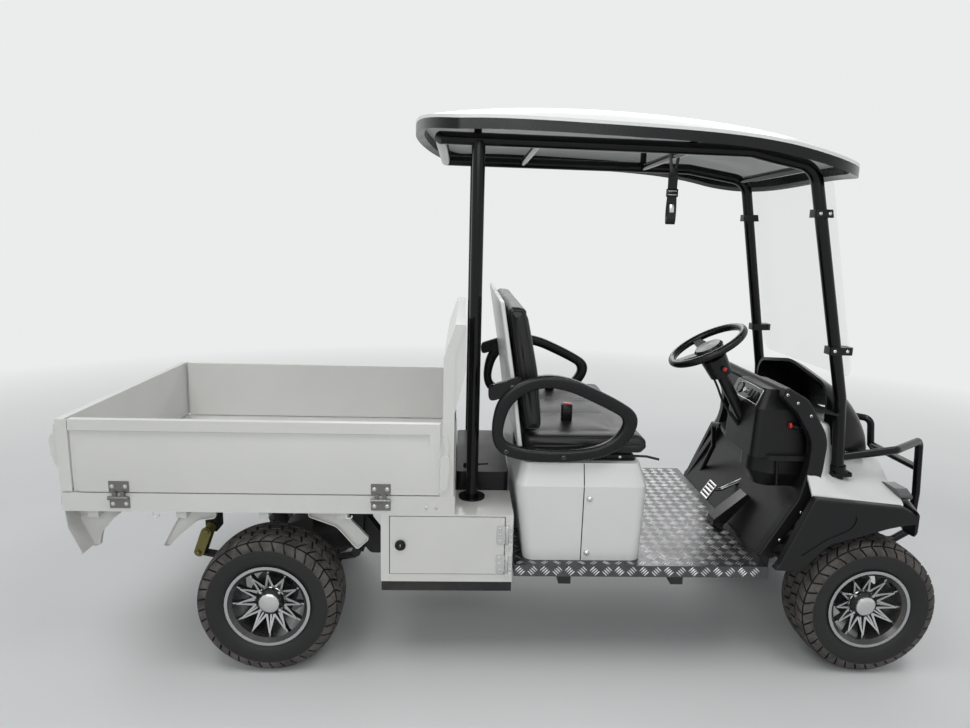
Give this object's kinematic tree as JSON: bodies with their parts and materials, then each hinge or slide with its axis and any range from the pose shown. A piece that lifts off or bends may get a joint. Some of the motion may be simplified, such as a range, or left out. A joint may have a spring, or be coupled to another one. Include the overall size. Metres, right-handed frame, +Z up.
{
  "type": "utility golf cart with a drop-side cargo bed",
  "caption": "Small four-wheeled utility vehicle with a roof, bench seat, steering wheel, front tube guard and a flat cargo bed whose sides and tailgate fold down.",
  "frame": {"origin": "on the floor, in the middle of the overall length and width", "axes": "+X forward, +Y to the vehicle's left, +Z up"},
  "size_m": [3.6887, 1.234, 2.288],
  "materials": {
    "frame_black": "satin black paint",
    "body_white": "gloss white paint",
    "shell_white": "moulded white plastic",
    "trim_black": "grained black plastic",
    "tyre": "rubber",
    "alloy": "machined alloy over black",
    "steel": "zinc-plated steel",
    "tread_plate": "tread plate",
    "upholstery": "black leathercloth",
    "glass": "clear pane",
    "lamp_clear": "clear lens",
    "webbing": "woven strap",
    "cast_metal": "painted casting",
    "battery": "battery casing"
  },
  "bodies": {
    "chassis": {"chassis_frame": "frame_black", "leaf_springs": "frame_black", "rear_axle": "cast_metal", "front_axle": "frame_black", "battery_block": "battery", "lockers": "body_white", "bed_frame": "body_white", "bed_hinges": "steel", "headboard": "body_white", "floor_plate": "tread_plate", "seat_base": "shell_white", "rear_cover": "trim_black", "seat_hardware": "frame_black", "seat_cushion": "upholstery", "seat_back_pad": "upholstery", "seat_back_shell": "shell_white", "armrests": "trim_black", "column_cable": "trim_black", "hood": "shell_white", "front_fender": "trim_black", "dash": "trim_black", "cowl": "trim_black", "lamps": "lamp_clear", "driver_controls": "trim_black", "steering_column": "frame_black", "brush_guard": "frame_black", "roof_frame": "frame_black", "roof_shell": "shell_white", "roof_edge": "trim_black", "windshield": "glass", "hand_strap": "webbing"},
    "knuckle_right": {"knuckle_right": "cast_metal"},
    "knuckle_left": {"knuckle_left": "cast_metal"},
    "tie_rod": {"tie_rod": "frame_black"},
    "steering_wheel": {"steering_wheel": "trim_black"},
    "drop_side_right": {"drop_side_right": "body_white"},
    "drop_side_left": {"drop_side_left": "body_white"},
    "tailgate": {"tailgate": "body_white"},
    "locker_door_right": {"locker_door_right": "body_white"},
    "locker_door_left": {"locker_door_left": "body_white"},
    "wheel_front_right": {"tyre_front_right": "tyre", "rim_front_right": "alloy"},
    "wheel_front_left": {"tyre_front_left": "tyre", "rim_front_left": "alloy"},
    "wheel_rear_right": {"tyre_rear_right": "tyre", "rim_rear_right": "alloy"},
    "wheel_rear_left": {"tyre_rear_left": "tyre", "rim_rear_left": "alloy"}
  },
  "joints": [
    {"name": "steer_right", "type": "hinge", "parent": "chassis", "child": "knuckle_right", "pos_m": [1.40542, -0.422, 0.288], "axis": [0, 0, 1], "range_deg": [-30, 30]},
    {"name": "steer_left", "type": "hinge", "parent": "chassis", "child": "knuckle_left", "pos_m": [1.40542, 0.422, 0.288], "axis": [0, 0, 1], "range_deg": [-30, 30]},
    {"name": "tie_rod_swing", "type": "hinge", "parent": "knuckle_right", "child": "tie_rod", "pos_m": [1.33542, -0.422, 0.2], "axis": [0, 0, 1], "range_deg": [-30, 30]},
    {"name": "steering_wheel_turn", "type": "hinge", "parent": "chassis", "child": "steering_wheel", "pos_m": [0.76841, -0.25, 1.321], "axis": [-0.5, 0, 0.866], "range_deg": [-450, 450]},
    {"name": "spin_front_right", "type": "hinge", "parent": "knuckle_right", "child": "wheel_front_right", "pos_m": [1.40542, -0.5, 0.288], "axis": [0, 1, 0], "continuous": true},
    {"name": "spin_front_left", "type": "hinge", "parent": "knuckle_left", "child": "wheel_front_left", "pos_m": [1.40542, 0.5, 0.288], "axis": [0, 1, 0], "continuous": true},
    {"name": "spin_rear_right", "type": "hinge", "parent": "chassis", "child": "wheel_rear_right", "pos_m": [-1.04259, -0.5, 0.288], "axis": [0, 1, 0], "continuous": true},
    {"name": "spin_rear_left", "type": "hinge", "parent": "chassis", "child": "wheel_rear_left", "pos_m": [-1.04259, 0.5, 0.288], "axis": [0, 1, 0], "continuous": true},
    {"name": "drop_side_right_swing", "type": "hinge", "parent": "chassis", "child": "drop_side_right", "pos_m": [-1.08858, -0.609, 0.742], "axis": [1, 0, 0], "range_deg": [0, 175]},
    {"name": "locker_door_right_swing", "type": "hinge", "parent": "chassis", "child": "locker_door_right", "pos_m": [-0.09459, -0.606, 0.541], "axis": [0, 0, 1], "range_deg": [0, 110]},
    {"name": "drop_side_left_swing", "type": "hinge", "parent": "chassis", "child": "drop_side_left", "pos_m": [-1.08858, 0.609, 0.742], "axis": [-1, 0, 0], "range_deg": [0, 175]},
    {"name": "locker_door_left_swing", "type": "hinge", "parent": "chassis", "child": "locker_door_left", "pos_m": [-0.09459, 0.606, 0.541], "axis": [0, 0, -1], "range_deg": [0, 110]},
    {"name": "tailgate_swing", "type": "hinge", "parent": "chassis", "child": "tailgate", "pos_m": [-1.82258, 0, 0.742], "axis": [0, -1, 0], "range_deg": [0, 160]}
  ],
  "couplings": [
    {"joint": "steer_left", "follows": "steer_right", "ratio": 1},
    {"joint": "tie_rod_swing", "follows": "steer_right", "ratio": -1},
    {"joint": "steering_wheel_turn", "follows": "steer_right", "ratio": 15}
  ]
}
